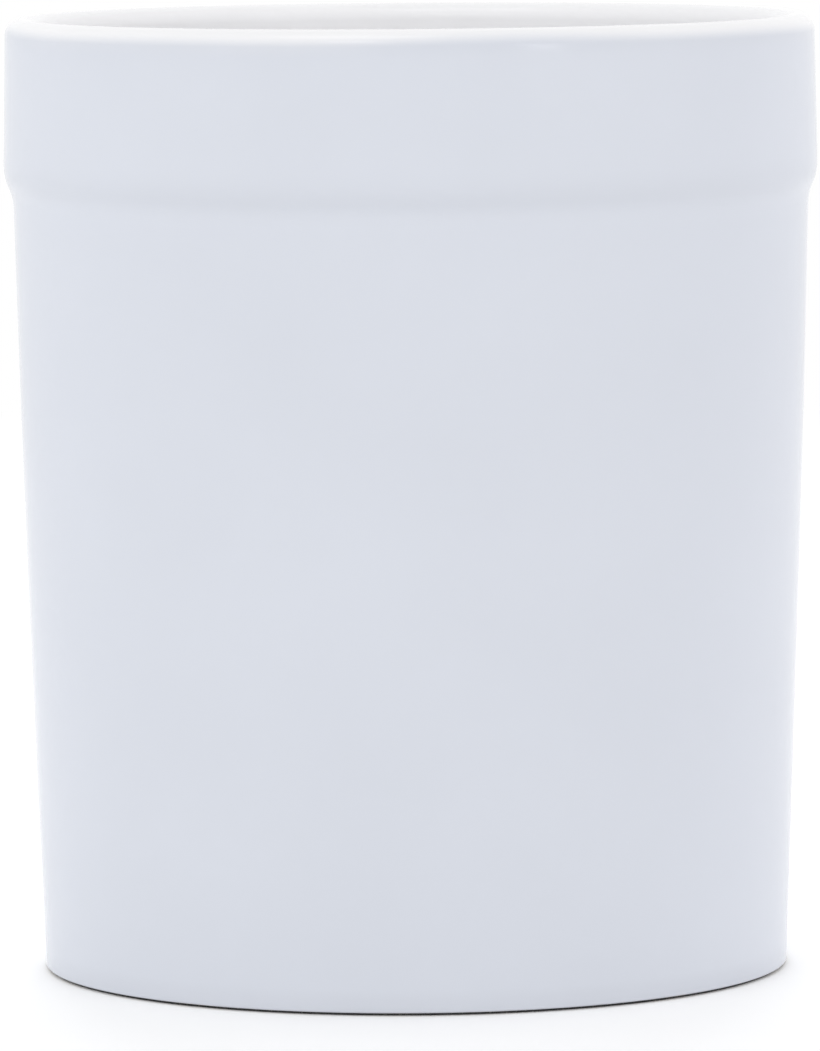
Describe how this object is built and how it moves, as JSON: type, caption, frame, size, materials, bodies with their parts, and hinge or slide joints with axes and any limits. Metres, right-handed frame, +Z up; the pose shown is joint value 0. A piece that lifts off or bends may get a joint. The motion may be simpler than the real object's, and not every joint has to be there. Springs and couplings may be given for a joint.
{
  "type": "utensil holder",
  "caption": "Oval, gently flared utensil crock in glossy white glazed ceramic, with a raised collar round the mouth and a thin dark non-slip ring under its foot.",
  "frame": {"origin": "centre of the oval footprint on the standing surface, at the underside of the foot ring", "axes": "+Z up, +X along the oval's width, and the pictured front faces -Y"},
  "size_m": [0.1554, 0.106, 0.184],
  "materials": {
    "glaze": "glossy white glaze, faintly cool, over a pale cast body; the foot's bearing land is bare, fine and matte",
    "ring_rubber": "matte dark grey non-slip rubber strip",
    "adhesive": "thin cloudy adhesive film"
  },
  "bodies": {
    "root": {"crock": "glaze", "foot_ring": "ring_rubber", "foot_ring_adhesive": "adhesive"}
  },
  "joints": []
}
